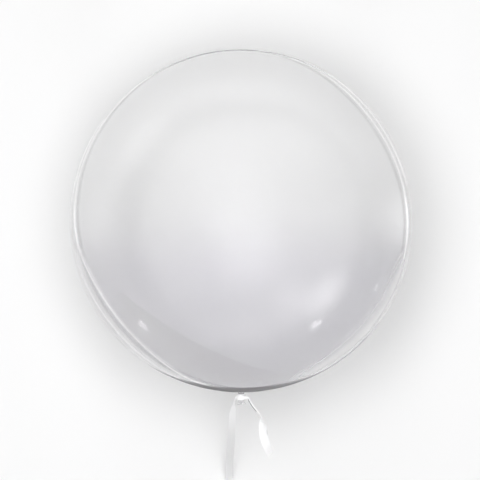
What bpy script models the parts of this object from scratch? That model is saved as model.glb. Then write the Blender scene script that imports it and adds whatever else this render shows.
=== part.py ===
"""A clear bubble balloon, lying on its side, its neck tied with a flat ribbon.

The balloon lies on a small flat spot at z = 0, with its neck pointing along -Y. The origin is
on the floor under the middle of the balloon and its neck. One ribbon is knotted round the neck:
its long tail falls to the floor and ends in a coil, and its short tail springs out beside it.
"""

import math

import bmesh
import bpy
from mathutils import Matrix, Vector

# Balloon
BALLOON_DIAMETER = 0.450
REST_SPOT_RADIUS = 0.025
NECK_RADIUS = 0.0035
NECK_SHOULDER_RADIUS = 0.0020
PLEAT_COUNT = 12
PLEAT_DEPTH = 0.0003
PLEAT_REACH = 0.030
FILM_END_LENGTH = 0.0050
FILM_END_RADIUS = 0.0046
FILM_END_PLEAT_DEPTH = 0.0009

# Ribbon and its knot
RIBBON_WIDTH = 0.011
RIBBON_THICKNESS = 0.0010
LONG_TAIL_LENGTH = 1.200
KNOT_LENGTH = 0.0085
KNOT_WALL = 0.0022
KNOT_LUMP_LENGTH = 0.0128
KNOT_LUMP_HEIGHT = 0.0080
KNOT_LUMP_DEPTH = 0.0078
LONG_TAIL_GATHER = 0.020
SHORT_TAIL_GATHER = 0.040
GATHER_SHARE = 0.42

# Coil of the long tail, and its tie
COIL_OUTER_RADIUS = 0.0620
COIL_TURN_SPACING = 0.0042
TIE_WIDTH = 0.008
TIE_THICKNESS = 0.0006
TIE_SLACK = 0.0005

# Clearance between touching pieces
GAP = 0.0003

# Fineness of the meshes
SEGMENTS_ROUND_AXIS = 72
KNOT_SEGMENTS = 36
LUMP_SEGMENTS = 20
LUMP_RINGS = 12
RINGS_FROM_FAR_POLE = 22
RINGS_IN_PLEATS = 7
RIBBON_LANES = 3
SHOULDER_STEPS = 3
FILM_END_STEPS = 3

BALLOON_RADIUS = BALLOON_DIAMETER / 2
NECK_START = BALLOON_RADIUS + NECK_SHOULDER_RADIUS
KNOT_PLACE = NECK_START + GAP + KNOT_LENGTH / 2
FILM_END_START = KNOT_PLACE + KNOT_LENGTH / 2 + GAP
NECK_REACH = FILM_END_START + FILM_END_LENGTH - BALLOON_RADIUS
BALLOON_Y = NECK_REACH / 2
NECK_HEIGHT = math.sqrt(BALLOON_RADIUS**2 - REST_SPOT_RADIUS**2)
KNOT_Y = BALLOON_Y - KNOT_PLACE
KNOT_BORE_RADIUS = NECK_RADIUS + PLEAT_DEPTH + GAP
KNOT_OUTER_RADIUS = KNOT_BORE_RADIUS + KNOT_WALL
LUMP_HEIGHT = NECK_HEIGHT + (KNOT_BORE_RADIUS + KNOT_OUTER_RADIUS) / 2
COIL_BASE = TIE_THICKNESS + 2 * GAP

# The ribbon's routes, chosen by hand: x, y from the knot, height as a share of the knot lump's
# height, and how far the ribbon is turned about its run, in degrees. At 0 it stands on edge.
LONG_TAIL_ROUTE = [
    (-0.0072, -0.0004, 1.000, 6),
    (-0.0088, -0.0055, 1.002, 12),
    (-0.0102, -0.0120, 0.996, 30),
    (-0.0112, -0.0200, 0.977, 48),
    (-0.0119, -0.0295, 0.944, 57),
    (-0.0123, -0.0400, 0.892, 60),
    (-0.0127, -0.0510, 0.814, 62),
    (-0.0133, -0.0615, 0.712, 65),
    (-0.0141, -0.0730, 0.585, 67),
    (-0.0151, -0.0845, 0.450, 68),
    (-0.0160, -0.0965, 0.312, 68),
    (-0.0167, -0.1090, 0.188, 66),
    (-0.0170, -0.1225, 0.090, 63),
    (-0.0170, -0.1370, 0.030, 66),
    (-0.0169, -0.1530, 0.006, 85),
    (-0.0168, -0.1680, 0.009, 80),
    (-0.0168, -0.1830, 0.020, 52),
    (-0.0168, -0.1980, 0.028, 20),
    (-0.0168, -0.2120, 0.0295, 2),
    (-0.0168, -0.2240, 0.0295, 0),
]
SHORT_TAIL_ROUTE = [
    (0.0072, -0.0004, 1.000, -8),
    (0.0098, -0.0056, 1.005, -12),
    (0.0133, -0.0114, 1.004, -12),
    (0.0180, -0.0174, 0.999, -10),
    (0.0234, -0.0238, 0.990, -6),
    (0.0272, -0.0302, 0.977, -12),
    (0.0284, -0.0388, 0.956, -72),
    (0.0292, -0.0495, 0.931, -90),
    (0.0316, -0.0596, 0.904, -99),
    (0.0351, -0.0696, 0.877, -113),
    (0.0392, -0.0780, 0.857, -130),
]
LONG_TAIL_STEP = 0.0070
SHORT_TAIL_STEP = 0.0040


def clear_scene():
    for thing in list(bpy.data.objects):
        bpy.data.objects.remove(thing)


def make_material(name, colour, roughness, alpha=1.0):
    material = bpy.data.materials.new(name)
    material.use_nodes = True
    shader = material.node_tree.nodes["Principled BSDF"]
    shader.inputs["Base Color"].default_value = (*colour, 1.0)
    shader.inputs["Roughness"].default_value = roughness
    shader.inputs["Metallic"].default_value = 0.0
    shader.inputs["Alpha"].default_value = alpha
    return material


def add_object(name, data, material):
    thing = bpy.data.objects.new(name, data)
    thing.data.materials.append(material)
    bpy.context.scene.collection.objects.link(thing)
    return thing


def mesh_from(name, bm):
    mesh = bpy.data.meshes.new(name)
    bmesh.ops.recalc_face_normals(bm, faces=bm.faces)
    bm.to_mesh(mesh)
    bm.free()
    mesh.shade_smooth()
    mesh.set_sharp_from_angle(angle=math.radians(40))
    return mesh


def spin_about_y(outline, steps):
    """A closed body turned about the Y axis from (y, radius) points that run from pole to pole."""
    bm = bmesh.new()
    points = [bm.verts.new((radius, y, 0.0)) for y, radius in outline]
    edges = [bm.edges.new(pair) for pair in zip(points, points[1:])]
    bmesh.ops.spin(
        bm, geom=points + edges, cent=(0, 0, 0), axis=(0, 1, 0), angle=math.tau, steps=steps
    )
    bmesh.ops.remove_doubles(bm, verts=bm.verts, dist=1e-6)
    return bm


def balloon_outline():
    """(y, radius) from the far pole, over the neck's shoulder and the neck, to the film's end."""
    shoulder_angle = math.asin(
        (NECK_RADIUS + NECK_SHOULDER_RADIUS) / (BALLOON_RADIUS + NECK_SHOULDER_RADIUS)
    )
    pleats_from = math.pi - shoulder_angle - PLEAT_REACH / BALLOON_RADIUS
    angles = [pleats_from * i / RINGS_FROM_FAR_POLE for i in range(RINGS_FROM_FAR_POLE)]
    pleated = math.pi - shoulder_angle - pleats_from
    angles += [pleats_from + pleated * i / RINGS_IN_PLEATS for i in range(RINGS_IN_PLEATS + 1)]
    outline = [(BALLOON_RADIUS * math.cos(a), BALLOON_RADIUS * math.sin(a)) for a in angles]

    arc_y = -(BALLOON_RADIUS + NECK_SHOULDER_RADIUS) * math.cos(shoulder_angle)
    arc_radius = NECK_RADIUS + NECK_SHOULDER_RADIUS
    for i in range(1, SHOULDER_STEPS + 1):
        turn = (math.pi / 2 - shoulder_angle) * (1 - i / SHOULDER_STEPS)
        outline.append(
            (
                arc_y + NECK_SHOULDER_RADIUS * math.sin(turn),
                arc_radius - NECK_SHOULDER_RADIUS * math.cos(turn),
            )
        )
    for i in range(FILM_END_STEPS + 1):
        share = i / FILM_END_STEPS
        flare = (FILM_END_RADIUS - NECK_RADIUS) * share**2
        outline.append((-FILM_END_START - FILM_END_LENGTH * share, NECK_RADIUS + flare))
    outline.append((-FILM_END_START - FILM_END_LENGTH, 0.0))
    return outline


def pleat_depth_at(y):
    """How deep the film's pleats are: fading out over the balloon, deepest at the film's end."""
    if y > -BALLOON_RADIUS:
        from_pole = math.acos(min(1.0, -y / BALLOON_RADIUS)) * BALLOON_RADIUS
        return PLEAT_DEPTH * max(0.0, 1 - from_pole / PLEAT_REACH)
    beyond_knot = max(0.0, -y - FILM_END_START) / FILM_END_LENGTH
    return PLEAT_DEPTH + (FILM_END_PLEAT_DEPTH - PLEAT_DEPTH) * beyond_knot


def make_balloon(material):
    bm = spin_about_y(balloon_outline(), SEGMENTS_ROUND_AXIS)
    for vert in bm.verts:
        from_axis = math.hypot(vert.co.x, vert.co.z)
        if from_axis < 1e-6:
            continue
        outward = Vector((vert.co.x / from_axis, 0.0, vert.co.z / from_axis))
        if vert.co.y > -BALLOON_RADIUS:
            outward = vert.co.normalized()
        around = math.atan2(vert.co.z, vert.co.x)
        vert.co += outward * pleat_depth_at(vert.co.y) * math.cos(PLEAT_COUNT * around)
    bmesh.ops.translate(bm, verts=bm.verts, vec=(0.0, BALLOON_Y, NECK_HEIGHT))
    everything = bm.verts[:] + bm.edges[:] + bm.faces[:]
    bmesh.ops.bisect_plane(
        bm, geom=everything, plane_co=(0, 0, 0), plane_no=(0, 0, 1), clear_inner=True
    )
    bmesh.ops.holes_fill(bm, edges=[edge for edge in bm.edges if edge.is_boundary])
    return add_object("balloon", mesh_from("balloon", bm), material)


def knot_wrap():
    """The turns of ribbon round the neck, before the neck's bore is cut through them."""
    round_off = KNOT_WALL / 4
    half = KNOT_LENGTH / 2
    outline = [
        (-half, 0.0),
        (-half, KNOT_OUTER_RADIUS - round_off),
        (-half + round_off, KNOT_OUTER_RADIUS),
        (half - round_off, KNOT_OUTER_RADIUS),
        (half, KNOT_OUTER_RADIUS - round_off),
        (half, 0.0),
    ]
    bm = spin_about_y(outline, KNOT_SEGMENTS)
    bmesh.ops.translate(bm, verts=bm.verts, vec=(0.0, KNOT_Y, NECK_HEIGHT))
    return mesh_from("knot_wrap", bm)


def knot_lump():
    """The knot itself, over the wrap: an egg whose long way lies across the neck."""
    bm = bmesh.new()
    bmesh.ops.create_uvsphere(bm, u_segments=LUMP_SEGMENTS, v_segments=LUMP_RINGS, radius=0.5)
    size = Vector((KNOT_LUMP_LENGTH, KNOT_LUMP_DEPTH, KNOT_LUMP_HEIGHT))
    place = Matrix.Translation((0.0, KNOT_Y, LUMP_HEIGHT)) @ Matrix.Diagonal((*size, 1.0))
    bmesh.ops.transform(bm, matrix=place, verts=bm.verts)
    return mesh_from("knot_lump", bm)


def knot_bore():
    """The room for the neck, cut through the wrap and the lump alike."""
    bm = bmesh.new()
    bmesh.ops.create_cone(
        bm,
        cap_ends=True,
        segments=KNOT_SEGMENTS,
        radius1=KNOT_BORE_RADIUS,
        radius2=KNOT_BORE_RADIUS,
        depth=KNOT_LENGTH * 2,
    )
    stand = Matrix.Translation((0.0, KNOT_Y, NECK_HEIGHT)) @ Matrix.Rotation(math.pi / 2, 4, "X")
    bmesh.ops.transform(bm, matrix=stand, verts=bm.verts)
    return mesh_from("knot_bore", bm)


def add_helper(name, mesh):
    helper = bpy.data.objects.new(name, mesh)
    bpy.context.scene.collection.objects.link(helper)
    helper.hide_render = True
    helper.display_type = "WIRE"
    return helper


def make_knot(material):
    knot = add_object("ribbon_knot", knot_wrap(), material)
    for operation, helper in (
        ("UNION", add_helper("knot_lump_shape", knot_lump())),
        ("DIFFERENCE", add_helper("knot_bore_shape", knot_bore())),
    ):
        boolean = knot.modifiers.new(operation.title(), "BOOLEAN")
        boolean.operation = operation
        boolean.object = helper
    return knot


def route_points(route, step):
    """Points about one step apart on a Catmull-Rom curve through the route: place and turn."""
    stops = [
        Vector((x, KNOT_Y + y, share * LUMP_HEIGHT, math.radians(turn)))
        for x, y, share, turn in route
    ]
    run = [2 * stops[0] - stops[1], *stops, 2 * stops[-1] - stops[-2]]
    points = []
    for before, start, end, after in zip(run, run[1:], run[2:], run[3:]):
        count = max(1, round((end.xyz - start.xyz).length / step))
        for i in range(count):
            t = i / count
            points.append(
                0.5
                * (
                    2 * start
                    + (end - before) * t
                    + (2 * before - 5 * start + 4 * end - after) * t**2
                    + (3 * start - before - 3 * end + after) * t**3
                )
            )
    points.append(stops[-1])
    return points


def length_of(points):
    return sum((b.xyz - a.xyz).length for a, b in zip(points, points[1:]))


def ribbon_section(run, turn, half_width):
    """Corners across a strip: up one face and back down the other. At turn 0 it stands on edge."""
    sideways = Vector((-run.y, run.x, 0.0)).normalized()
    across = math.cos(turn) * run.cross(sideways) - math.sin(turn) * sideways
    outward = run.cross(across) * RIBBON_THICKNESS / 2
    lanes = [across * half_width * (2 * i / RIBBON_LANES - 1) for i in range(RIBBON_LANES + 1)]
    return [lane + outward for lane in lanes] + [lane - outward for lane in reversed(lanes)]


def make_ribbon(name, points, gathered, material):
    """A flat strip along the points, gathered narrow where it leaves the knot."""
    bm = bmesh.new()
    rings = []
    length = 0.0
    for i, point in enumerate(points):
        length += (point.xyz - points[i - 1].xyz).length if i else 0.0
        gather = GATHER_SHARE + (1 - GATHER_SHARE) * min(1.0, length / gathered)
        run = (points[min(i + 1, len(points) - 1)].xyz - points[max(i - 1, 0)].xyz).normalized()
        section = ribbon_section(run, point.w, gather * RIBBON_WIDTH / 2)
        rings.append([bm.verts.new(point.xyz + corner) for corner in section])
    for ring, following in zip(rings, rings[1:]):
        for i, corner in enumerate(ring):
            ahead = following[i]
            if i <= RIBBON_LANES:
                bm.faces.new((ring[i - 1], corner, following[i - 1]))
                bm.faces.new((corner, ahead, following[i - 1]))
            else:
                bm.faces.new((ring[i - 1], corner, ahead))
                bm.faces.new((ring[i - 1], ahead, following[i - 1]))
    bm.faces.new(rings[0])
    bm.faces.new(rings[-1])
    return add_object(name, mesh_from(name, bm), material)


def coil_turns(unseen):
    """Turns that take up this length, each lying one spacing inside the one before."""
    under_root = COIL_OUTER_RADIUS**2 - unseen * COIL_TURN_SPACING / math.pi
    return (COIL_OUTER_RADIUS - math.sqrt(under_root)) / COIL_TURN_SPACING


def coil_centre(entry):
    """The coil's middle, where the tail's last point meets the outer turn edge to edge."""
    return Vector((entry.x + COIL_OUTER_RADIUS + RIBBON_THICKNESS + GAP, entry.y))


def make_coil(centre, inner_radius, outer_radius, material):
    corners = [
        (inner_radius, COIL_BASE),
        (outer_radius, COIL_BASE),
        (outer_radius, COIL_BASE + RIBBON_WIDTH),
        (inner_radius, COIL_BASE + RIBBON_WIDTH),
    ]
    bm = bmesh.new()
    points = [bm.verts.new((radius, 0.0, z)) for radius, z in corners]
    edges = [bm.edges.new((points[i - 1], points[i])) for i in range(len(points))]
    bmesh.ops.spin(
        bm,
        geom=points + edges,
        cent=(0, 0, 0),
        axis=(0, 0, 1),
        angle=math.tau,
        steps=SEGMENTS_ROUND_AXIS,
    )
    bmesh.ops.remove_doubles(bm, verts=bm.verts, dist=1e-6)
    bmesh.ops.translate(bm, verts=bm.verts, vec=(*centre, 0.0))
    return add_object("ribbon_coil", mesh_from("ribbon_coil", bm), material)


def make_tie(centre, inner_radius, outer_radius, material):
    """A flat band round the coil's turns, on the side away from the balloon."""
    half_depth = (outer_radius - inner_radius) / 2 + TIE_SLACK
    half_height = RIBBON_WIDTH / 2 + GAP
    middle = Vector(
        (
            centre.x,
            centre.y - (outer_radius + inner_radius) / 2,
            COIL_BASE + RIBBON_WIDTH / 2,
        )
    )
    bm = bmesh.new()
    loops = []
    for grow in (0.0, TIE_THICKNESS):
        for side in (-TIE_WIDTH / 2, TIE_WIDTH / 2):
            corners = [
                Vector((side, y * (half_depth + grow), z * (half_height + grow)))
                for y, z in ((-1, -1), (1, -1), (1, 1), (-1, 1))
            ]
            loops.append([bm.verts.new(middle + corner) for corner in corners])
    inner_left, inner_right, outer_left, outer_right = loops
    for i in range(4):
        for first, second in (
            (inner_left, inner_right),
            (inner_right, outer_right),
            (outer_right, outer_left),
            (outer_left, inner_left),
        ):
            bm.faces.new((first[i - 1], first[i], second[i], second[i - 1]))
    return add_object("ribbon_coil_tie", mesh_from("ribbon_coil_tie", bm), material)


def main():
    clear_scene()
    film = make_material("clear film", (0.90, 0.90, 0.92), roughness=0.05, alpha=0.30)
    ribbon = make_material("white ribbon", (0.93, 0.93, 0.94), roughness=0.35)
    make_balloon(film)
    make_knot(ribbon)
    short_tail = route_points(SHORT_TAIL_ROUTE, SHORT_TAIL_STEP)
    make_ribbon("ribbon_short_tail", short_tail, SHORT_TAIL_GATHER, ribbon)
    long_tail = route_points(LONG_TAIL_ROUTE, LONG_TAIL_STEP)
    make_ribbon("ribbon_long_tail", long_tail, LONG_TAIL_GATHER, ribbon)
    turns = coil_turns(LONG_TAIL_LENGTH - length_of(long_tail))
    inner_radius = COIL_OUTER_RADIUS - turns * COIL_TURN_SPACING - RIBBON_THICKNESS / 2
    outer_radius = COIL_OUTER_RADIUS + RIBBON_THICKNESS / 2
    centre = coil_centre(long_tail[-1])
    make_coil(centre, inner_radius, outer_radius, ribbon)
    make_tie(centre, inner_radius, outer_radius, ribbon)


main()
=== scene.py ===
"""Looks of the clear balloon: its film, its ribbon and knot, and the studio around them.

The balloon lies on its side on the floor, at z = 0, with its neck along -Y, and the camera looks
straight down on it. Right is +X, and far is +Y, away from the ribbon. All lengths are in metres.
"""

import math

import bmesh
import bpy
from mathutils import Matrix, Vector, noise


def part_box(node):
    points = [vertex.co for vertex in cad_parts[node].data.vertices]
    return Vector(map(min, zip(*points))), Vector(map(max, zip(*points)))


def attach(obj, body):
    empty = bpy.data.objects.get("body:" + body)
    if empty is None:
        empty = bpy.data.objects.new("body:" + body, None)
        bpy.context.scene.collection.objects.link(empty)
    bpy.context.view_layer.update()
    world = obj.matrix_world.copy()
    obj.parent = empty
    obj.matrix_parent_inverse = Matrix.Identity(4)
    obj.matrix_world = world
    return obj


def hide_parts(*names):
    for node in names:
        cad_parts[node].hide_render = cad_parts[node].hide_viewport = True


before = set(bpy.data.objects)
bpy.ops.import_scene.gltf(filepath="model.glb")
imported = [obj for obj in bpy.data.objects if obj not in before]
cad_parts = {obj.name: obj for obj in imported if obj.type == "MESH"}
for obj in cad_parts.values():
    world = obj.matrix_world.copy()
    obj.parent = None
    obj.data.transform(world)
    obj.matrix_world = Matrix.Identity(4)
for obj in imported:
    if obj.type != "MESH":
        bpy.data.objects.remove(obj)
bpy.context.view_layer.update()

# Balloon
BALLOON_RADIUS = 0.225
REST_SPOT_RADIUS = 0.025
NECK_RADIUS = 0.0035
NECK_SHOULDER_RADIUS = 0.0020
FILM_END_LENGTH = 0.0050
FILM_END_RADIUS = 0.0046
FILM_END_DEPTH = 0.8  # how far its inside goes back, as a share of its length
FILM_END_NARROWING = 0.6  # how much of its inside closes on the way back
FILM_WALL = 0.0005
FLOOR_CLEARANCE = 0.0003

# Waves of the film round its axis: how many, how high and where they start
PLEATS = ((12, 0.00030, 0.0), (19, 0.00016, 1.3), (31, 0.00010, 2.1))
RUFFLES = ((5, 0.0007, 0.4), (12, 0.0005, 1.0), (21, 0.0002, 2.6))
PLEAT_REACH = 0.042
PLEAT_FADING = 1.5
RIPPLE_DEPTH = 0.00025
RIPPLE_SIZE = 0.14
RIPPLE_SEED = Vector((4.0, 9.0, 2.0))

# Ribbon
RIBBON_WIDTH = 0.011
RIBBON_THICKNESS = 0.00028
SOLID_RIBBON_THICKNESS = 0.0010
THIN_EDGE_FROM = 0.85
THIN_EDGE = 0.75
GAP = 0.0003
LONG_TAIL_LENGTH = 1.200
LONG_TAIL_GATHER = 0.020
SHORT_TAIL_GATHER = 0.040
GATHER_SHARE = 0.42
CREASE_DEPTH = 0.0005
CREASE_TURNS = 1.25
FOLD_DEPTH = 0.0026
FOLD_FROM = 0.2

# The tails' hollow across their width, and how it grows and shrinks along them
LONG_TAIL_CURL = 0.0003
SHORT_TAIL_CURL = 0.0002
CURL_LEVEL = 0.4
CURL_MEAN = 0.7
CURL_SWING = 0.5
CURL_RATE = 70.0

# Coil and its band
COIL_TURN_SPACING = 0.0042
COIL_JOIN_TURN = 0.25
TIE_WIDTH = 0.008
TIE_MARGIN_Y = 0.0005
TIE_MARGIN_Z = 0.0003
TIE_TURNS = 1.22
TIE_START = -2.2
TIE_SQUARENESS = 8
TIE_LAP_HEIGHT = 0.00035
TIE_LAP_FROM = 0.95
TIE_LAP_RISE = 0.08
TIE_EDGE_LIFT = 0.00015

# Winding round the neck
WRAP_TURNS = 3.2
WRAP_START = 1.2
WRAP_RADIUS = 0.0047
WRAP_GROWTH = 0.00034
WRAP_WIDTH = 0.0054
WRAP_SWAY = 0.0016
WRAP_SWAY_RATE = 1.9
WRAP_SWAY_START = 0.4
WRAP_CREASE = 0.00022
WRAP_EDGE_DROP = 0.0003

# Half knot over the winding: two strands of rolled-up ribbon, the second one the first turned over
KNOT_LUMP_HEIGHT = 0.0080
KNOT_LUMP_SHIFT = 0.0006
STRAND_STOPS = [
    (-0.0076, -0.0006, 0.0002),
    (-0.0052, 0.0004, 0.0014),
    (-0.0018, 0.0016, 0.0024),
    (0.0020, 0.0010, 0.0022),
    (0.0042, -0.0010, 0.0004),
    (0.0040, -0.0022, -0.0022),
    (0.0022, -0.0020, -0.0040),
]
SECOND_STRAND_DEPTH = 0.9
SECOND_STRAND_HEIGHT = 0.85
SECOND_STRAND_DROP = 0.0002
STRAND_RADIUS = 0.0016
STRAND_SWELL = 0.0006
STRAND_FLATNESS = 0.8
STRAND_CREASES = 5
STRAND_CREASE_DEPTH = 0.13
STRAND_TWIST = 2.0
NEARLY_UPRIGHT = 0.2

# What the solids' boxes say
_, BALLOON_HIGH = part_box("balloon")
KNOT_LOW, KNOT_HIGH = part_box("ribbon_knot")
COIL_LOW, COIL_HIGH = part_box("ribbon_coil")
TIE_LOW, TIE_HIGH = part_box("ribbon_coil_tie")
NECK_HEIGHT = math.sqrt(BALLOON_RADIUS**2 - REST_SPOT_RADIUS**2)
MIDDLE = Vector((0.0, BALLOON_HIGH.y - BALLOON_RADIUS, NECK_HEIGHT))
KNOT = Vector((0.0, (KNOT_LOW.y + KNOT_HIGH.y) / 2, NECK_HEIGHT))
LUMP_HEIGHT = KNOT_HIGH.z - KNOT_LUMP_HEIGHT / 2

# The ribbon's routes: x, y from the knot, height as a share of the knot lump's height, and how far
# the ribbon is turned about its run, in degrees. At 0 it stands on edge.
LONG_TAIL_ROUTE = [
    (-0.0072, -0.0004, 1.000, 6),
    (-0.0088, -0.0055, 1.002, 12),
    (-0.0102, -0.0120, 0.996, 30),
    (-0.0112, -0.0200, 0.977, 48),
    (-0.0119, -0.0295, 0.944, 57),
    (-0.0123, -0.0400, 0.892, 60),
    (-0.0127, -0.0510, 0.814, 62),
    (-0.0133, -0.0615, 0.712, 65),
    (-0.0141, -0.0730, 0.585, 67),
    (-0.0151, -0.0845, 0.450, 68),
    (-0.0160, -0.0965, 0.312, 68),
    (-0.0167, -0.1090, 0.188, 66),
    (-0.0170, -0.1225, 0.090, 63),
    (-0.0170, -0.1370, 0.030, 66),
    (-0.0169, -0.1530, 0.006, 85),
    (-0.0168, -0.1680, 0.009, 80),
    (-0.0168, -0.1830, 0.020, 52),
    (-0.0168, -0.1980, 0.028, 20),
    (-0.0168, -0.2120, 0.0295, 2),
    (-0.0168, -0.2240, 0.0295, 0),
]
SHORT_TAIL_ROUTE = [
    (0.0072, -0.0004, 1.000, -8),
    (0.0098, -0.0056, 1.005, -12),
    (0.0133, -0.0114, 1.004, -12),
    (0.0180, -0.0174, 0.999, -10),
    (0.0234, -0.0238, 0.990, -6),
    (0.0272, -0.0302, 0.977, -12),
    (0.0284, -0.0388, 0.956, -72),
    (0.0292, -0.0495, 0.931, -90),
    (0.0316, -0.0596, 0.904, -99),
    (0.0351, -0.0696, 0.877, -113),
    (0.0392, -0.0780, 0.857, -130),
]

# Camera: straight down, with the picture's 480 pixels across VIEW_WIDTH at VIEW_PLANE
VIEW_WIDTH = 0.6317
VIEW_PLANE = 0.225
VIEW_DEPTH = 50.0
CAMERA_DISTANCE = 3.0
CAMERA_PLACE = Vector((-0.0016, -0.0170, VIEW_PLANE + CAMERA_DISTANCE))
SENSOR_WIDTH = 36.0

# Fineness of the meshes
STEPS_ROUND_FILM = 192
RINGS_ON_FILM = 110
RINGS_IN_PLEATS = 26
RINGS_ON_SHOULDER = 6
RINGS_ON_FILM_END = 10
ON_AXIS = 1e-7
RIBBON_LANES = 12
WRAP_LANES = 10
TIE_LANES = 8
TAIL_STEP = 0.0015
COIL_STEPS_PER_TURN = 120
WRAP_STEPS_PER_TURN = 40
TIE_STEPS = 150
STRAND_POINTS = 36
STRAND_STEPS = 28
FLOOR_SIDES = 96
FILM_SHARP_FROM = 80.0
RIBBON_SHARP_FROM = 60.0

RIBBON_MAP = "ribbon"

# Parts of the film's finish. Each pair says where a part starts to show and where it shows in full:
# as a place's direction from the balloon's middle, of which right, far and up are shares, or on
# edge_on, which is 0 where the film faces the eye and 1 where it is seen edge on. BALL_SKIN is a
# distance from the middle.
BALL_SKIN = (0.2270, 0.2258)
NEAR_PART = (0.20, -0.34)
FAR_PART = (0.10, 0.50)
FAR_WHITE_PART = (0.1, 0.6)
LEFT_PART = (-0.1, -0.6)
LOW_LEFT = (-0.77, -0.64, 0.0)
LOW_LEFT_PART = (0.80, 0.90)
LOW_RIGHT = (0.75, -0.66, 0.0)
LOW_RIGHT_PART = (0.76, 0.90)
# Where the film's colour pales edge on: a painted sheen
EDGE_SHEEN_PART = (0.0, 0.6)
EDGE_STEEPNESS = 3
MOTTLE_SIZE = 0.9
MOTTLE_DETAIL = 1.5
MOTTLE_SEED = 3.0
CLOUD_MEAN = 0.5

# The film's edge band, all painted reflection: where on edge_on its painted dark line lies, how
# that shifts with the direction, and how far from there its painted shines are. At the lower left,
# the dark line and the shine beside it change places, and the film outside them is clearer.
PAINTED_LINES_PLACE = 0.746
PAINTED_LINES_SHIFT_FAR = 0.063
PAINTED_LINES_SHIFT_SIDES = -0.075
PAINTED_LINES_SHIFT_DIAGONALS = -0.073
PAINTED_LINES_SHIFT_QUARTERS = 0.039
PAINTED_LINE_HALF_WIDTH = 0.045
DARK_LINE_STEP = -0.01
SHINE_STEP = 0.055
LOW_LEFT_SWAP = 0.07
SECOND_SHINE_STEP = 0.16
SECOND_SHINE_HALF_WIDTH = 0.06
SECOND_SHINE_DIAGONALS = (0.2, 0.7)
LOW_RIGHT_DARK_LINE_LOSS = 0.8
LOW_RIGHT_SHINE_LOSS = 0.9
PALE_BAND_PLACE = 0.76
PALE_BAND_HALF_WIDTH = 0.24
CLEARED_STEPS = (0.03, 0.08)

# Dark rims, painted shade at the film's edge: at the neck, at the far side and at the lower right
NECK_RIM = (0.745, 0.81)
NECK_RIM_THINNING = 0.6
NECK_RIM_PART = (-0.70, -0.97)
FAR_RIM = (0.86, 0.93)
FAR_RIM_PART = (0.75, 0.97)
FAR_RIM_STRENGTH = 0.75
RIGHT_RIM = (0.89, 0.94)
RIGHT_RIM_NEAR_PART = (-0.52, -0.70)
RIGHT_RIM_RIGHT_PART = (0.1, 0.4)
RIGHT_RIM_STRENGTH = 0.8

# Greyer wedge of film at the lower left, a painted dark reflection. It starts at a nearly straight
# edge and fades out in the direction WEDGE_TOWARDS.
WEDGE_TOWARDS = (-0.488, -0.806, -0.335)
WEDGE_EDGE = (0.425, 0.45)
WEDGE_FADING = (0.92, 0.45)
WEDGE_UPPER_SIDE = (0.0, 0.3)
WEDGE_RIGHT_END = (0.7, -0.3)
WEDGE_LEFT_END = (-0.74, -0.62)

# How solid the film is: everywhere, and how much more or less by part and by band of its edge
LEAST_HAZE = 0.068
HAZE_BY_PART = {
    "edge_on": 0.14,
    "steep": 0.08,
    "near": 0.13,
    "mottle": 0.08,
    "far": -0.05,
    "left": -0.035,
}
CLEARED_SHARE = 0.6
HAZE_BY_BAND = {
    "fold": 0.08,
    "painted_edge_shine": 0.26,
    "second_shine": 0.22,
    "dark_rim": 0.55,
    "pale_band": 0.10,
    "wedge": 0.050,
}
NECK_HAZE = 0.30

# How much of a lamp's light the film holds back: most in a belt round the balloon at about its
# middle's height, which lays a soft ring of shade on the floor
BELT_LOW = (-0.50, -0.38)
BELT_HIGH = (0.35, 0.0)
BELT_SHADE = 0.97
EDGE_SHADE = 0.16

# The film's colours. FACING_GREY pales to EDGE_GREY where the film is seen edge on: a painted
# sheen. The tints are laid over each other in this order: part, share and colour. All of them are
# painted light and shade: near darkens the film towards the neck and far_white whitens it towards
# the far side, and the rest are the edge band's painted reflections, the painted dark rims and the
# painted dark wedge.
FACING_GREY = (0.58, 0.575, 0.605, 1.0)
EDGE_GREY = (0.84, 0.84, 0.86, 1.0)
NECK_WHITE = (0.95, 0.95, 0.96, 1.0)
SHINE_WHITE = (0.99, 0.99, 0.99, 1.0)
TINTS = (
    ("near", 1.0, (0.53, 0.51, 0.585, 1.0)),
    ("far_white", 1.0, (0.97, 0.965, 0.99, 1.0)),
    ("pale_band", 1.0, (0.99, 0.985, 1.0, 1.0)),
    ("fold", 0.5, (0.14, 0.14, 0.16, 1.0)),
    ("painted_edge_shine", 1.0, SHINE_WHITE),
    ("second_shine", 1.0, SHINE_WHITE),
    ("dark_rim", 1.0, (0.15, 0.15, 0.155, 1.0)),
    ("wedge", 0.7, (0.32, 0.30, 0.31, 1.0)),
)

# The film's gloss
FILM_ROUGHNESS = 0.30
ROUGHNESS_BY_PART = {"mottle": 0.10, "dark_rim": 0.4, "shine": -0.15}
FULL_COAT = 1.0
COAT_BY_BAND = {"dark_rim": -0.9, "fold": -0.4}
COAT_ROUGHNESS = 0.12
COAT_IOR = 1.5
FILM_SPECULAR = 0.3

# Ribbon's finish
SELVAGE_FROM = RIBBON_WIDTH / 2 - 0.0009
SELVAGE_TO = RIBBON_WIDTH / 2 - 0.0006
RIB_SPACING = 0.00060
THREAD_SPACING = 0.00045
THREAD_HEIGHT = 0.6
SELVAGE_HEIGHT = 0.8
WEAVE_STRENGTH = 0.35
WEAVE_DEPTH = 0.00003
SHEEN_CLOUD_SIZE = 0.012
RIBBON_CLOUD_DETAIL = 3.0
RIBBON_WHITE = (0.975, 0.975, 0.98, 1.0)
RIBBON_SHADE = (0.94, 0.94, 0.95, 1.0)
RIBBON_SHADE_SHARE = 0.5
SELVAGE_WHITE = (0.90, 0.90, 0.915, 1.0)
SELVAGE_SHARE = 0.35
RIBBON_ROUGHNESS = 0.36
CLOUD_ROUGHNESS = 0.10
SELVAGE_ROUGHNESS = 0.08
RIBBON_SHEEN = 0.15
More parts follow.
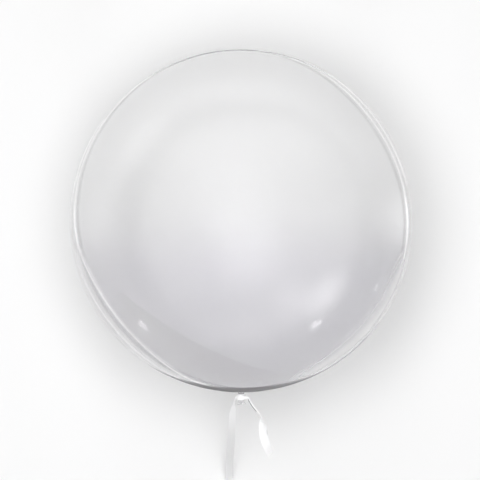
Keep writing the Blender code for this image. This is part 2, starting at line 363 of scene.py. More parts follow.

# Painted shadows: a dark line in the crease along the short tail's folded start, and along the
# turned edge of its leaf. Places across the ribbon are from its middle line, and places near and
# far are from the knot.
CREASE_SHADOW_GREY = (0.16, 0.16, 0.17, 1.0)
CREASE_PLACE = 0.0014
CREASE_HALF_WIDTH = 0.0015
CREASE_RIGHT_PART = (0.0078, 0.0095)
CREASE_FAR_PART = (-0.021, -0.017)
CREASE_STRENGTH = 0.9
TURNED_EDGE = (0.0044, 0.0052)
TURNED_EDGE_RIGHT_PART = (0.020, 0.028)
TURNED_EDGE_PLACE = -0.0475
TURNED_EDGE_HALF_LENGTH = 0.0070
TURNED_EDGE_STRENGTH = 0.5

# Floor
FLOOR_RADIUS = 12.0
FLOOR_WHITE = (0.905, 0.905, 0.905, 1.0)
FLOOR_SPECK = (0.895, 0.895, 0.895, 1.0)
FLOOR_GRAIN_SIZE = 0.004
FLOOR_GRAIN_DETAIL = 3.0
FLOOR_ROUGHNESS = 0.85
FLOOR_GRAIN_ROUGHNESS = 0.08

# Flood lamps, which light everything but are not mirrored: name, place, width and brightness
FLOOD_AIM = (0.0, 0.0, 0.2)
FLOOD_LAMPS = (
    ("overhead softbox", (-0.25, 0.16, 5.2), 3.64, 8.0),
    ("far fill", (-0.4, 2.9, 4.2), 1.6, 2.6),
    ("front fill", (0.4, -4.4, 3.0), 1.6, 3.0),
)

# Lamps for the film's gloss alone: name, where on the balloon they are mirrored, right and far as
# shares of its radius, size and brightness. The soft ones also say in how many steps they fade.
GLOW_DISTANCE = 2.4
GLOW_STEP_BACK = 0.02
SOFT_GLOWS = (
    ("side glow", -0.54, 0.46, (1.6, 1.6), 19.0, 6),
    ("overhead glow", -0.04, 0.17, (3.2, 3.4), 10.0, 6),
    ("far glow", 0.0, 0.72, (3.4, 1.8), 4.5, 4),
    ("near glow", 0.30, -0.46, (1.4, 1.8), 6.0, 4),
    ("right glow", 0.87, 0.02, (0.8, 2.6), 3.4, 3),
)
GLINTS = (
    ("left glint", -0.567, -0.596, (0.22, 0.28), 13.0),
    ("right glint", 0.427, -0.591, (0.26, 0.18), 30.0),
    ("low glint", -0.164, -0.696, (0.22, 0.12), 9.0),
    ("left dot", -0.719, -0.129, (0.12, 0.24), 9.0),
    ("right dot", 0.626, 0.427, (0.16, 0.16), 10.0),
    ("low right dot", 0.772, -0.380, (0.10, 0.16), 8.0),
    ("high left dot", -0.731, 0.292, (0.10, 0.14), 8.0),
)

# The room: its colour, how bright it looks, and how brightly it lights
ROOM_WHITE = (1.0, 1.0, 1.0, 1.0)
ROOM_LOOK = 0.90
ROOM_LIGHT = 0.12


# Camera


def place_camera():
    data = bpy.data.cameras.new("camera")
    data.sensor_width = SENSOR_WIDTH
    data.lens = SENSOR_WIDTH * CAMERA_DISTANCE / VIEW_WIDTH
    data.clip_end = VIEW_DEPTH
    camera = bpy.data.objects.new("camera", data)
    camera.location = CAMERA_PLACE
    bpy.context.scene.collection.objects.link(camera)
    bpy.context.scene.camera = camera


# Shader maths


class Shade:
    """One value in a material. Sums written on it add the Math nodes that they need."""

    def __init__(self, finish, socket):
        self.finish = finish
        self.socket = socket

    def __add__(self, other):
        return self.finish.maths("ADD", self, other)

    def __radd__(self, other):
        return self.finish.maths("ADD", other, self)

    def __sub__(self, other):
        return self.finish.maths("SUBTRACT", self, other)

    def __rsub__(self, other):
        return self.finish.maths("SUBTRACT", other, self)

    def __mul__(self, other):
        return self.finish.maths("MULTIPLY", self, other)

    def __rmul__(self, other):
        return self.finish.maths("MULTIPLY", other, self)

    def __pow__(self, other):
        return self.finish.maths("POWER", self, other)

    def __abs__(self):
        return self.finish.maths("ABSOLUTE", self)


class Finish:
    """A material or a world in the making."""

    def __init__(self, owner):
        owner.use_nodes = True
        self.owner = owner
        self.tree = owner.node_tree
        self.tree.nodes.clear()

    def add(self, kind, settings=None, inputs=None):
        """Adds a node, sets it up, and gives its sockets their values or links."""
        node = self.tree.nodes.new(kind)
        for name, value in (settings or {}).items():
            setattr(node, name, value)
        for name, value in (inputs or {}).items():
            if isinstance(value, Shade):
                self.tree.links.new(value.socket, node.inputs[name])
            else:
                node.inputs[name].default_value = value
        return node

    def node(self, kind, settings=None, inputs=None, output=0):
        """Adds a node and returns one of its outputs."""
        return Shade(self, self.add(kind, settings, inputs).outputs[output])

    def maths(self, operation, *values):
        return self.node("ShaderNodeMath", {"operation": operation}, dict(enumerate(values)))

    def greater(self, first, second):
        """The greater of two values."""
        return self.maths("MAXIMUM", first, second)

    def vectors(self, operation, *values, output=0):
        settings = {"operation": operation}
        return self.node("ShaderNodeVectorMath", settings, dict(enumerate(values)), output)

    def towards(self, direction, aim):
        """How far a direction leans towards this aim: 1 where it points straight at it."""
        return self.vectors("DOT_PRODUCT", direction, aim, output="Value")

    def xyz(self, vector):
        """A vector's three numbers."""
        node = self.add("ShaderNodeSeparateXYZ", {}, {0: vector})
        return [Shade(self, output) for output in node.outputs]

    def fade(self, value, start, end):
        """0 at start and beyond, rising smoothly to 1 at end."""
        settings = {"interpolation_type": "SMOOTHSTEP"}
        return self.node("ShaderNodeMapRange", settings, {0: value, 1: start, 2: end})

    def line(self, value, at, half_width):
        """1 where the value is at, falling smoothly to 0 on both sides."""
        return self.fade(abs(value - at), half_width, 0.0)

    def mix(self, share, first, second):
        """A colour between two."""
        settings = {"data_type": "RGBA"}
        return self.node("ShaderNodeMix", settings, {0: share, 6: first, 7: second}, 2)

    def cloud(self, place, size, detail, seed=0.0):
        """Soft noise from 0 to 1 with features of about this size."""
        inputs = {"Vector": place, "Scale": 1.0 / size, "Detail": detail, "W": seed}
        return self.node("ShaderNodeTexNoise", {"noise_dimensions": "4D"}, inputs)

    def bump(self, height, strength, distance):
        inputs = {"Height": height, "Strength": strength, "Distance": distance}
        return self.node("ShaderNodeBump", {}, inputs)

    def surface(self, **inputs):
        """Ends the material in a Principled shader with these sockets."""
        named = {name.replace("_", " ").title(): value for name, value in inputs.items()}
        named = {name.replace("Ior", "IOR"): value for name, value in named.items()}
        shader = self.node("ShaderNodeBsdfPrincipled", {}, named)
        self.add("ShaderNodeOutputMaterial", {}, {"Surface": shader})
        return self.owner


def added_up(start, amounts, parts):
    """start, and the amount of each named part on top of it."""
    for name, amount in amounts.items():
        start = start + amount * parts[name]
    return start


# Finishes


def edge_bands(film, parts, edge_on, right, far):
    """Thin painted reflections inside the film's edge: a dark line, the shine beside it, a second
    shine.
    """
    low_left, low_right = parts["low_left"], parts["low_right"]
    # Near the edge, these are the cosine and sine of twice the angle round the picture, and the
    # cosine of four times that angle.
    sides = right * right - far * far
    diagonals = 2.0 * right * far
    quarters = sides * sides - diagonals * diagonals
    place = PAINTED_LINES_PLACE + PAINTED_LINES_SHIFT_FAR * far + PAINTED_LINES_SHIFT_SIDES * sides
    place = place + PAINTED_LINES_SHIFT_DIAGONALS * diagonals + PAINTED_LINES_SHIFT_QUARTERS * quarters
    swap = LOW_LEFT_SWAP * low_left
    fold = film.line(edge_on, place + DARK_LINE_STEP + swap, PAINTED_LINE_HALF_WIDTH)
    painted_edge_shine = film.line(edge_on, place + SHINE_STEP - swap, PAINTED_LINE_HALF_WIDTH)
    second_shine = film.line(edge_on, place + SECOND_SHINE_STEP, SECOND_SHINE_HALF_WIDTH)
    second_shine = second_shine * film.fade(abs(diagonals), *SECOND_SHINE_DIAGONALS)
    shine_left = 1.0 - LOW_RIGHT_SHINE_LOSS * low_right
    pale_band = film.line(edge_on, PALE_BAND_PLACE, PALE_BAND_HALF_WIDTH)
    cleared = film.fade(edge_on, *(place + step for step in CLEARED_STEPS))
    bands = {
        "fold": fold * (1.0 - LOW_RIGHT_DARK_LINE_LOSS * low_right),
        "painted_edge_shine": painted_edge_shine * shine_left,
        "second_shine": second_shine * shine_left,
        "pale_band": pale_band * low_right,
        "cleared": cleared * low_left,
    }
    return {name: band * parts["ball"] for name, band in bands.items()}


def dark_rims(film, ball, edge_on, right, far):
    """The film's painted dark outline: a crescent at the neck, its right end, a line at the far
    side.
    """
    neck_rim = film.fade(edge_on - NECK_RIM_THINNING * right * right, *NECK_RIM)
    neck_rim = neck_rim * film.fade(far, *NECK_RIM_PART)
    far_rim = film.fade(edge_on, *FAR_RIM) * film.fade(far, *FAR_RIM_PART)
    right_rim = film.fade(edge_on, *RIGHT_RIM) * film.fade(far, *RIGHT_RIM_NEAR_PART)
    right_rim = right_rim * film.fade(right, *RIGHT_RIM_RIGHT_PART)
    dark = film.greater(neck_rim, FAR_RIM_STRENGTH * far_rim)
    return film.greater(dark, RIGHT_RIM_STRENGTH * right_rim) * ball


def grey_wedge(film, outward, right, up):
    """The greyer wedge of film, a painted dark reflection, darkest along its edge."""
    from_edge = film.towards(outward, WEDGE_TOWARDS)
    wedge = film.fade(from_edge, *WEDGE_EDGE) * film.fade(from_edge, *WEDGE_FADING)
    wedge = wedge * film.fade(up, *WEDGE_UPPER_SIDE) * film.fade(right, *WEDGE_RIGHT_END)
    return wedge * film.fade(right, *WEDGE_LEFT_END)


def film_parts(film):
    """The parts of the film by name. All go from 0 to 1, except mottle, which is about 0."""
    place = film.node("ShaderNodeTexCoord", output="Object")
    from_middle = film.vectors("SUBTRACT", place, tuple(MIDDLE))
    outward = film.vectors("NORMALIZE", from_middle)
    right, far, up = film.xyz(outward)
    edge_on = film.node("ShaderNodeLayerWeight", output="Facing")
    ball = film.fade(film.vectors("LENGTH", from_middle, output="Value"), *BALL_SKIN)
    mottle = film.cloud(outward, MOTTLE_SIZE, MOTTLE_DETAIL, MOTTLE_SEED) - CLOUD_MEAN
    parts = {
        "ball": ball,
        "edge_on": edge_on,
        "painted_edge_sheen": film.fade(edge_on, *EDGE_SHEEN_PART),
        "steep": edge_on**EDGE_STEEPNESS,
        "near": film.fade(far, *NEAR_PART) * ball,
        "far": film.fade(far, *FAR_PART),
        "far_white": film.fade(far, *FAR_WHITE_PART),
        "left": film.fade(right, *LEFT_PART),
        "mottle": mottle,
        "low_left": film.fade(film.towards(outward, LOW_LEFT), *LOW_LEFT_PART),
        "low_right": film.fade(film.towards(outward, LOW_RIGHT), *LOW_RIGHT_PART),
        "wedge": grey_wedge(film, outward, right, up) * ball,
        "belt": film.fade(up, *BELT_LOW) * film.fade(up, *BELT_HIGH),
        "dark_rim": dark_rims(film, ball, edge_on, right, far),
    }
    parts.update(edge_bands(film, parts, edge_on, right, far))
    # Both painted shines together, which also make the film metallic there
    parts["shine"] = film.greater(parts["painted_edge_shine"], parts["second_shine"])
    return parts


def film_solidity(film, parts):
    """The film's haze, and what it holds back of a lamp's light where that is more."""
    haze = added_up(LEAST_HAZE, HAZE_BY_PART, parts)
    haze = haze * (1.0 - CLEARED_SHARE * parts["cleared"])
    haze = added_up(haze, HAZE_BY_BAND, parts)
    haze = haze * parts["ball"] + NECK_HAZE * (1.0 - parts["ball"])
    in_shadow = film.node("ShaderNodeLightPath", output="Is Shadow Ray")
    held_back = BELT_SHADE * parts["belt"] + EDGE_SHADE * parts["edge_on"]
    return film.greater(haze, in_shadow * held_back)


def clear_film():
    """Clear stretch film: see-through where it faces the eye, greyer and glossier edge on."""
    film = Finish(bpy.data.materials.new("clear film"))
    parts = film_parts(film)
    tint = film.mix(parts["painted_edge_sheen"], FACING_GREY, EDGE_GREY)
    for name, share, colour in TINTS:
        tint = film.mix(share * parts[name], tint, colour)
    return film.surface(
        base_color=film.mix(parts["ball"], NECK_WHITE, tint),
        roughness=added_up(FILM_ROUGHNESS, ROUGHNESS_BY_PART, parts),
        metallic=parts["shine"],
        alpha=film_solidity(film, parts),
        coat_weight=added_up(FULL_COAT, COAT_BY_BAND, parts),
        coat_roughness=COAT_ROUGHNESS,
        coat_ior=COAT_IOR,
        specular_ior_level=FILM_SPECULAR,
    )


def short_tail_shadows(ribbon, across, place):
    """Painted shadow in the crease at the short tail's start and along the turned edge of its leaf.
    """
    right, far, _ = ribbon.xyz(place)
    from_knot = far - KNOT.y
    crease = ribbon.line(across, CREASE_PLACE, CREASE_HALF_WIDTH)
    crease = crease * ribbon.fade(right, *CREASE_RIGHT_PART)
    crease = crease * ribbon.fade(from_knot, *CREASE_FAR_PART)
    turned_edge = ribbon.fade(across, *TURNED_EDGE) * ribbon.fade(right, *TURNED_EDGE_RIGHT_PART)
    turned_edge = turned_edge * ribbon.line(from_knot, TURNED_EDGE_PLACE, TURNED_EDGE_HALF_LENGTH)
    return ribbon.greater(CREASE_STRENGTH * crease, TURNED_EDGE_STRENGTH * turned_edge)


def white_ribbon():
    """Woven satin ribbon: fine ribs across it, a firmer selvage along both sides."""
    ribbon = Finish(bpy.data.materials.new("white satin ribbon"))
    across, along, _ = ribbon.xyz(ribbon.node("ShaderNodeUVMap", {"uv_map": RIBBON_MAP}))
    place = ribbon.node("ShaderNodeTexCoord", output="Object")
    selvage = ribbon.fade(abs(across), SELVAGE_FROM, SELVAGE_TO)
    ribs = ribbon.maths("SINE", along * (math.tau / RIB_SPACING))
    threads = ribbon.maths("SINE", across * (math.tau / THREAD_SPACING))
    cloudy = ribbon.cloud(place, SHEEN_CLOUD_SIZE, RIBBON_CLOUD_DETAIL)
    weave = ribs * (1.0 - selvage) + THREAD_HEIGHT * threads + SELVAGE_HEIGHT * selvage
    shade = ribbon.mix(cloudy * RIBBON_SHADE_SHARE, RIBBON_WHITE, RIBBON_SHADE)
    shade = ribbon.mix(selvage * SELVAGE_SHARE, shade, SELVAGE_WHITE)
    return ribbon.surface(
        base_color=ribbon.mix(short_tail_shadows(ribbon, across, place), shade, CREASE_SHADOW_GREY),
        roughness=RIBBON_ROUGHNESS + CLOUD_ROUGHNESS * cloudy + SELVAGE_ROUGHNESS * selvage,
        normal=ribbon.bump(weave, WEAVE_STRENGTH, WEAVE_DEPTH),
        sheen_weight=RIBBON_SHEEN,
    )


def pale_floor():
    floor = Finish(bpy.data.materials.new("pale floor"))
    place = floor.node("ShaderNodeTexCoord", output="Object")
    grain = floor.cloud(place, FLOOR_GRAIN_SIZE, FLOOR_GRAIN_DETAIL)
    return floor.surface(
        base_color=floor.mix(grain, FLOOR_WHITE, FLOOR_SPECK),
        roughness=FLOOR_ROUGHNESS + FLOOR_GRAIN_ROUGHNESS * grain,
        specular_ior_level=0.0,
    )


# Mesh helpers


def add_object(name, mesh, finish):
    piece = bpy.data.objects.new(name, mesh)
    mesh.materials.append(finish)
    bpy.context.scene.collection.objects.link(piece)
    return piece


def add_piece(name, mesh, finish, slot, *nodes):
    """A piece of the object, which stands for these solids and rides with them."""
    piece = add_object(name, mesh, finish)
    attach(piece, "root")
    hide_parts(*nodes)
    return piece


def finished_mesh(name, bm):
    mesh = bpy.data.meshes.new(name)
    bm.to_mesh(mesh)
    bm.free()
    return mesh


def smooth_mesh(name, bm, sharp_from):
    """A smoothly shaded mesh, with edges sharper than this many degrees kept sharp."""
    mesh = finished_mesh(name, bm)
    mesh.shade_smooth()
    mesh.set_sharp_from_angle(angle=math.radians(sharp_from))
    return mesh


def sweep(name, points, sections, marks):
    """A closed skin over sections set along points. marks are each corner's places across it."""
    bm = bmesh.new()
    layer = bm.loops.layers.uv.new(RIBBON_MAP)
    rings = []
    lengths = [0.0]
    for point, section in zip(points, sections):
        rings.append([bm.verts.new(point + corner) for corner in section])
    for before, after in zip(points, points[1:]):
        lengths.append(lengths[-1] + (after - before).length)
    for row in range(len(rings) - 1):
        for i in range(len(marks)):
            corners = (
                (rings[row][i - 1], marks[i - 1], lengths[row]),
                (rings[row][i], marks[i], lengths[row]),
                (rings[row + 1][i], marks[i], lengths[row + 1]),
                (rings[row + 1][i - 1], marks[i - 1], lengths[row + 1]),
            )
            face = bm.faces.new([corner[0] for corner in corners])
            for loop, (_, mark, length) in zip(face.loops, corners):
                loop[layer].uv = (mark, length)
    bm.faces.new(rings[0])
    bm.faces.new(rings[-1])
    bmesh.ops.recalc_face_normals(bm, faces=bm.faces)
    return smooth_mesh(name, bm, RIBBON_SHARP_FROM)


def join_meshes(name, meshes):
    bm = bmesh.new()
    for mesh in meshes:
        bm.from_mesh(mesh)
    return smooth_mesh(name, bm, RIBBON_SHARP_FROM)


# Smooth curves


def with_ends(stops):
    """The stops with one more beyond each end, for a curve through all of them."""
    return [2 * stops[0] - stops[1], *stops, 2 * stops[-1] - stops[-2]]


def curve_point(before, start, end, after, t):
    """The point at t, from 0 to 1, of a smooth curve from start to end."""
    return 0.5 * (
        2 * start
        + (end - before) * t
        + (2 * before - 5 * start + 4 * end - after) * t**2
        + (3 * start - before - 3 * end + after) * t**3
    )


def smooth_run(stops, count):
    """A smooth curve through the stops, in this many steps."""
    spans = len(stops) - 1
    run = with_ends([Vector(stop) for stop in stops])
    points = []
    for step in range(count + 1):
        at = step / count * spans
        i = min(int(at), spans - 1)
        points.append(curve_point(*run[i : i + 4], at - i))
    return points


def run_at(points, i):
    ahead = points[min(i + 1, len(points) - 1)].xyz
    behind = points[max(i - 1, 0)].xyz
    return (ahead - behind).normalized()


def length_of(points):
    return sum((after.xyz - before.xyz).length for before, after in zip(points, points[1:]))


# Film


def film_outline():
    """(y, radius) from the far pole over the balloon and its neck, and back inside its open end."""
    knot_place = MIDDLE.y - KNOT.y
    knot_half = (KNOT_HIGH.y - KNOT_LOW.y) / 2
    arc_radius = NECK_RADIUS + NECK_SHOULDER_RADIUS
    shoulder_angle = math.asin(arc_radius / (BALLOON_RADIUS + NECK_SHOULDER_RADIUS))
    pleats_from = math.pi - shoulder_angle - PLEAT_REACH / BALLOON_RADIUS
    pleated = math.pi - shoulder_angle - pleats_from
    angles = [pleats_from * i / RINGS_ON_FILM for i in range(RINGS_ON_FILM)]
    angles += [pleats_from + pleated * i / RINGS_IN_PLEATS for i in range(RINGS_IN_PLEATS + 1)]
    outline = []
    for angle in angles:
        outline.append((BALLOON_RADIUS * math.cos(angle), BALLOON_RADIUS * math.sin(angle)))

    arc_y = -(BALLOON_RADIUS + NECK_SHOULDER_RADIUS) * math.cos(shoulder_angle)
    for i in range(1, RINGS_ON_SHOULDER + 1):
        turn = (math.pi / 2 - shoulder_angle) * (1 - i / RINGS_ON_SHOULDER)
        y = arc_y + NECK_SHOULDER_RADIUS * math.sin(turn)
        outline.append((y, arc_radius - NECK_SHOULDER_RADIUS * math.cos(turn)))

    film_end_start = -(knot_place + knot_half + GAP)
    flare = FILM_END_RADIUS - NECK_RADIUS
    for i in range(RINGS_ON_FILM_END + 1):
        share = i / RINGS_ON_FILM_END
        outline.append((film_end_start - FILM_END_LENGTH * share, NECK_RADIUS + flare * share**2))
    for i in range(RINGS_ON_FILM_END + 1):
        share = 1 - FILM_END_DEPTH * i / RINGS_ON_FILM_END
        opening = 1 - FILM_END_NARROWING * (1 - share)
        inner = (NECK_RADIUS + flare * share**2) * opening - FILM_WALL
        outline.append((film_end_start - FILM_END_LENGTH * share, inner))
    outline.append((film_end_start - FILM_END_LENGTH * (1 - FILM_END_DEPTH), 0.0))
    return outline


def waves(kinds, around, depth):
    return depth * sum(height * math.cos(count * around + start) for count, height, start in kinds)


def film_shift(y, around, place):
    """How far a point of the film lies off its smooth outline."""
    if y > -BALLOON_RADIUS:
        from_pole = math.acos(min(1.0, -y / BALLOON_RADIUS)) * BALLOON_RADIUS
        depth = max(0.0, 1 - from_pole / PLEAT_REACH) ** PLEAT_FADING
        ripple = noise.noise(place / RIPPLE_SIZE + RIPPLE_SEED)
        return waves(PLEATS, around, depth) + RIPPLE_DEPTH * ripple
    end_start = MIDDLE.y - KNOT_LOW.y + GAP
    beyond = min(1.0, max(0.0, -y - end_start) / FILM_END_LENGTH)
    return waves(PLEATS, around, 1 - beyond) + waves(RUFFLES, around, beyond)


def film_mesh():
    bm = bmesh.new()
    rings = []
    for y, radius in film_outline():
        if radius <= ON_AXIS:
            rings.append([bm.verts.new(MIDDLE + Vector((0.0, y, 0.0)))] * STEPS_ROUND_FILM)
            continue
        ring = []
        for step in range(STEPS_ROUND_FILM):
            around = math.tau * step / STEPS_ROUND_FILM
            outward = Vector((math.cos(around), 0.0, math.sin(around)))
            place = outward * radius + Vector((0.0, y, 0.0))
            if y > -BALLOON_RADIUS:
                outward = place.normalized()
            place = MIDDLE + place + outward * film_shift(y, around, place)
            place.z = max(place.z, FLOOR_CLEARANCE)
            ring.append(bm.verts.new(place))
        rings.append(ring)
    for ring, following in zip(rings, rings[1:]):
        for i in range(STEPS_ROUND_FILM):
            corners = (ring[i - 1], ring[i], following[i], following[i - 1])
            bm.faces.new(list(dict.fromkeys(corners)))
    bmesh.ops.recalc_face_normals(bm, faces=bm.faces)
    return smooth_mesh("balloon_film", bm, FILM_SHARP_FROM)


# Ribbon


def lane_shares(lanes):
    """Where each lane's edge lies across a strip, from -1 to 1."""
    return [2 * lane / lanes - 1 for lane in range(lanes + 1)]


def strip_marks(lanes):
    """The corners' places across the ribbon, up one face and down the other."""
    marks = [RIBBON_WIDTH * (lane / lanes - 0.5) for lane in range(lanes + 1)]
    return marks + marks[::-1]


def strip_section(across, outward, width, lifts, edge=1.0):
    """Corners up one face of a strip and down the other.

    lifts say how far each lane's edge lies off the strip's plane, and edge how thick the strip is
    along its sides, as a share.
    """
    top, bottom = [], []
    for share, lift in zip(lane_shares(len(lifts) - 1), lifts):
        middle = across * share * width / 2 + outward * lift
        half = RIBBON_THICKNESS / 2 * (1.0 if abs(share) < THIN_EDGE_FROM else edge)
        top.append(middle + outward * half)
        bottom.append(middle - outward * half)
    return top + bottom[::-1]


def route_points(route):
    """Points along a smooth curve through the route: place, and turn in radians."""
    stops = [
        Vector((x, KNOT.y + y, share * LUMP_HEIGHT, math.radians(turn)))
        for x, y, share, turn in route
    ]
    run = with_ends(stops)
    points = []
    for before, start, end, after in zip(run, run[1:], run[2:], run[3:]):
        count = max(1, round((end.xyz - start.xyz).length / TAIL_STEP))
        points += [curve_point(before, start, end, after, i / count) for i in range(count)]
    return [*points, stops[-1]]


def coil_points(entry, unseen):
    """The coil's turns, each one spacing inside the one before, from the tail's last point."""
    outer = (COIL_HIGH.x - COIL_LOW.x) / 2 - SOLID_RIBBON_THICKNESS / 2
    centre = (COIL_LOW + COIL_HIGH) / 2
    inner = math.sqrt(outer**2 - unseen * COIL_TURN_SPACING / math.pi)
    turns = (outer - inner) / COIL_TURN_SPACING
    step_in = centre.x - entry.x - outer
    points = []
    count = round(turns * COIL_STEPS_PER_TURN)
    for i in range(1, count + 1):
        turned = turns * i / count
        joined = max(0.0, 1 - turned / COIL_JOIN_TURN) ** 2
        radius = outer - COIL_TURN_SPACING * turned + step_in * joined
        angle = math.pi + math.tau * turned
        place = centre + Vector((math.cos(angle), math.sin(angle), 0.0)) * radius
        points.append(Vector((place.x, place.y, entry.z, 0.0)))
    return points


def opened(length, gathered):
    """0 where the ribbon leaves the knot, rising smoothly to 1 where it lies at its full width."""
    share = min(1.0, length / gathered)
    return share * share * (3 - 2 * share)


def ribbon_section(run, turn, spread, curl, bend):
    """The ribbon's section: hollow across, creased where it is gathered, one side bent over."""
    sideways = Vector((-run.y, run.x, 0.0)).normalized()
    across = math.cos(turn) * run.cross(sideways) - math.sin(turn) * sideways
    width = RIBBON_WIDTH * (GATHER_SHARE + (1 - GATHER_SHARE) * spread)
    lifts = []
    for share in lane_shares(RIBBON_LANES):
        crease = CREASE_DEPTH * (1 - spread) * math.cos(share * math.tau * CREASE_TURNS)
        folded = bend * max(0.0, share - FOLD_FROM) / (1 - FOLD_FROM)
        lifts.append(crease + curl * (share * share - CURL_LEVEL) - folded)
    return strip_section(across, run.cross(across), width, lifts, THIN_EDGE)


def ribbon_mesh(name, points, gathered, curl, fold=0.0):
    """The ribbon along its run. fold is how far one side of it is bent over beside the knot."""
    length = 0.0
    sections = []
    for i, point in enumerate(points):
        length += (point.xyz - points[i - 1].xyz).length if i else 0.0
        hollow = curl * (CURL_MEAN + CURL_SWING * math.sin(length * CURL_RATE))
        bend = fold * (1 - opened(max(0.0, length - gathered / 2), gathered / 2))
        spread = opened(length, gathered)
        sections.append(ribbon_section(run_at(points, i), point.w, spread, hollow, bend))
    return sweep(name, [point.xyz for point in points], sections, strip_marks(RIBBON_LANES))


def tie_mesh():
    """A short band round the coil's turns, its end lapped over its start."""
    middle = (TIE_LOW + TIE_HIGH) / 2
    half_y = (TIE_HIGH.y - TIE_LOW.y) / 2 - TIE_MARGIN_Y
    half_z = (TIE_HIGH.z - TIE_LOW.z) / 2 - TIE_MARGIN_Z
    points = []
    for i in range(TIE_STEPS + 1):
        turned = i / TIE_STEPS * TIE_TURNS
        angle = TIE_START + math.tau * turned
        lap = TIE_LAP_HEIGHT * max(0.0, min(1.0, (turned - TIE_LAP_FROM) / TIE_LAP_RISE))
        y, z = math.cos(angle), math.sin(angle)
        reach = (abs(y) ** TIE_SQUARENESS + abs(z) ** TIE_SQUARENESS) ** (1 / TIE_SQUARENESS)
        y = y * (half_y / reach + lap)
        z = z * (half_z / reach + lap)
        points.append(middle + Vector((0.0, y, z)))
    across = Vector((1.0, 0.0, 0.0))
    lifts = [TIE_EDGE_LIFT * share**2 for share in lane_shares(TIE_LANES)]
    sections = []
    for i in range(len(points)):
        outward = across.cross(run_at(points, i))
        sections.append(strip_section(across, outward, TIE_WIDTH, lifts))
    return sweep("ribbon_coil_band", points, sections, strip_marks(TIE_LANES))


# Knot


def wrap_points():
    """The winding round the neck: a few turns that lie on and beside each other."""
    points = []
    count = round(WRAP_TURNS * WRAP_STEPS_PER_TURN)
    for i in range(count + 1):
        turned = WRAP_TURNS * i / count
        angle = WRAP_START + math.tau * turned
        radius = WRAP_RADIUS + WRAP_GROWTH * turned
        y = WRAP_SWAY * math.sin(turned * WRAP_SWAY_RATE + WRAP_SWAY_START)
        points.append(KNOT + Vector((math.cos(angle) * radius, y, math.sin(angle) * radius)))
    return points


def wrap_mesh():
    points = wrap_points()
    lifts = [
        WRAP_CREASE * math.cos(share * math.tau) - WRAP_EDGE_DROP * share**2
        for share in lane_shares(WRAP_LANES)
    ]
    sections = []
    for i, point in enumerate(points):
        outward = Vector((point.x - KNOT.x, 0.0, point.z - KNOT.z)).normalized()
        across = run_at(points, i).cross(outward)
        sections.append(strip_section(across, outward, WRAP_WIDTH, lifts))
    return sweep("wrap", points, sections, strip_marks(WRAP_LANES))


def strand_mesh(name, points):
    """A stretch of ribbon rolled up into a creased strand, thickest halfway along."""
    sections = []
    for i, point in enumerate(points):
        run = run_at(points, i)
        side = run.cross(Vector((0.0, 0.0, 1.0)))
        if side.length < NEARLY_UPRIGHT:
            side = run.cross(Vector((0.0, 1.0, 0.0)))
        side.normalize()
        rise = side.cross(run)
        radius = STRAND_RADIUS + STRAND_SWELL * math.sin(math.pi * i / (len(points) - 1))
        twist = STRAND_TWIST * i / len(points)
        section = []
        for step in range(STRAND_STEPS):
            around = math.tau * step / STRAND_STEPS
            crease = 1 + STRAND_CREASE_DEPTH * math.cos(STRAND_CREASES * around + twist)
            offset = side * math.cos(around) + rise * math.sin(around) * STRAND_FLATNESS
            section.append(offset * radius * crease)
        sections.append(section)
    marks = [RIBBON_WIDTH * (step / STRAND_STEPS - 0.5) for step in range(STRAND_STEPS)]
    return sweep(name, points, sections, marks)


def knot_mesh():
    """The winding round the neck, with the half knot over it from which both tails leave."""
    lump = Vector((KNOT_LUMP_SHIFT, KNOT.y, LUMP_HEIGHT))
    second_stops = []
    for x, y, z in STRAND_STOPS:
        y = -y * SECOND_STRAND_DEPTH - SECOND_STRAND_DROP
        z = z * SECOND_STRAND_HEIGHT - SECOND_STRAND_DROP
        second_stops.append((-x, y, z))
    meshes = [wrap_mesh()]
    for name, stops in (("first strand", STRAND_STOPS), ("second strand", second_stops)):
        points = [lump + point for point in smooth_run(stops, STRAND_POINTS)]
        meshes.append(strand_mesh(name, points))
    return join_meshes("ribbon_knot_wound", meshes)


# Studio


def lamp(name, place, aim, size, radiance, shape, reach):
    """A flat soft light of this brightness, facing its aim. reach says what it acts on."""
    area = math.pi / 4 * size[0] * size[1]
    data = bpy.data.lights.new(name, "AREA")
    data.shape = shape
    data.size, data.size_y = size
    data.energy = radiance * math.pi * area
    light = bpy.data.objects.new(name, data)
    light.location = place
    light.rotation_euler = (Vector(aim) - Vector(place)).to_track_quat("-Z", "Y").to_euler()
    light.visible_camera = False
    light.visible_diffuse = reach == "diffuse"
    light.visible_glossy = reach == "glossy"
    light.visible_transmission = False
    bpy.context.scene.collection.objects.link(light)


def glow(name, right, far, size, radiance, distance=GLOW_DISTANCE):
    """A lamp for the film's gloss alone, mirrored at this share of its radius from the middle."""
    facing = math.sqrt(1 - right**2 - far**2)
    towards = Vector((2 * facing * right, 2 * facing * far, 2 * facing**2 - 1))
    touched = MIDDLE + BALLOON_RADIUS * Vector((right, far, facing))
    lamp(name, touched + towards * distance, touched, size, radiance, "ELLIPSE", "glossy")


def soft_glow(name, right, far, size, radiance, steps):
    """A glow that is brightest in its middle: lamps of growing size, each a little farther off."""
    for step in range(1, steps + 1):
        share = step / steps
        stepped = (size[0] * share, size[1] * share)
        distance = GLOW_DISTANCE + GLOW_STEP_BACK * step
        glow(f"{name} {step}", right, far, stepped, radiance / steps, distance)


def light_studio():
    for name, place, width, radiance in FLOOD_LAMPS:
        lamp(name, place, FLOOD_AIM, (width, width), radiance, "DISK", "diffuse")
    for soft_one in SOFT_GLOWS:
        soft_glow(*soft_one)
    for glint in GLINTS:
        glow(*glint)


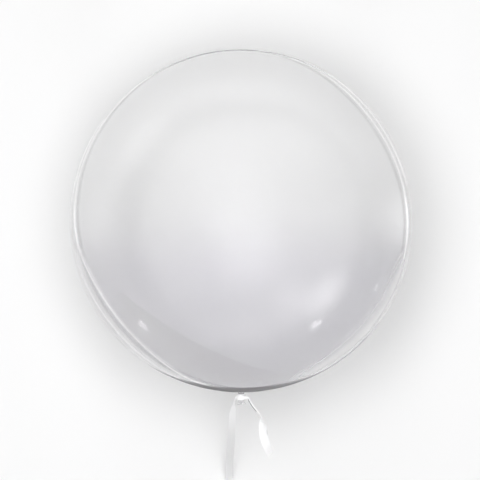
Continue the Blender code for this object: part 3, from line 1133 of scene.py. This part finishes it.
def fill_world():
    """An even pale room: it looks bright, and lights the scene only faintly."""
    room = Finish(bpy.data.worlds.new("pale room"))
    in_view = room.node("ShaderNodeLightPath", output="Is Camera Ray")
    mirrored = room.node("ShaderNodeLightPath", output="Is Glossy Ray")
    strength = ROOM_LIGHT + (ROOM_LOOK - ROOM_LIGHT) * room.greater(in_view, mirrored)
    light = room.node("ShaderNodeBackground", {}, {"Color": ROOM_WHITE, "Strength": strength})
    room.add("ShaderNodeOutputWorld", {}, {"Surface": light})
    bpy.context.scene.world = room.owner


def lay_floor(finish):
    """A wide round floor, which is not mirrored in the film and casts no shadow."""
    bm = bmesh.new()
    bmesh.ops.create_circle(bm, cap_ends=True, segments=FLOOR_SIDES, radius=FLOOR_RADIUS)
    floor = add_object("floor", finished_mesh("floor", bm), finish)
    floor.visible_glossy = False
    floor.visible_shadow = False


place_camera()

# Cords
ribbon_finish = white_ribbon()
long_tail = route_points(LONG_TAIL_ROUTE)
long_tail += coil_points(long_tail[-1], LONG_TAIL_LENGTH - length_of(long_tail))
short_tail = route_points(SHORT_TAIL_ROUTE)
tie = add_piece("ribbon_coil_band", tie_mesh(), ribbon_finish, "white_ribbon", "ribbon_coil_tie")
long_piece = add_piece(
    "ribbon_long_run",
    ribbon_mesh("ribbon_long_run", long_tail, LONG_TAIL_GATHER, LONG_TAIL_CURL),
    ribbon_finish,
    "white_ribbon",
    "ribbon_long_tail",
    "ribbon_coil",
)
short_piece = add_piece(
    "ribbon_short_run",
    ribbon_mesh("ribbon_short_run", short_tail, SHORT_TAIL_GATHER, SHORT_TAIL_CURL, FOLD_DEPTH),
    ribbon_finish,
    "white_ribbon",
    "ribbon_short_tail",
)
round(length_of(short_tail), 3)

# Knot and balloon
add_piece("ribbon_knot_wound", knot_mesh(), ribbon_finish, "white_ribbon", "ribbon_knot")
add_piece("balloon_film", film_mesh(), clear_film(), "clear_film", "balloon")

# Studio
lay_floor(pale_floor())
light_studio()
fill_world()
bpy.context.scene.view_settings.view_transform = "Standard"
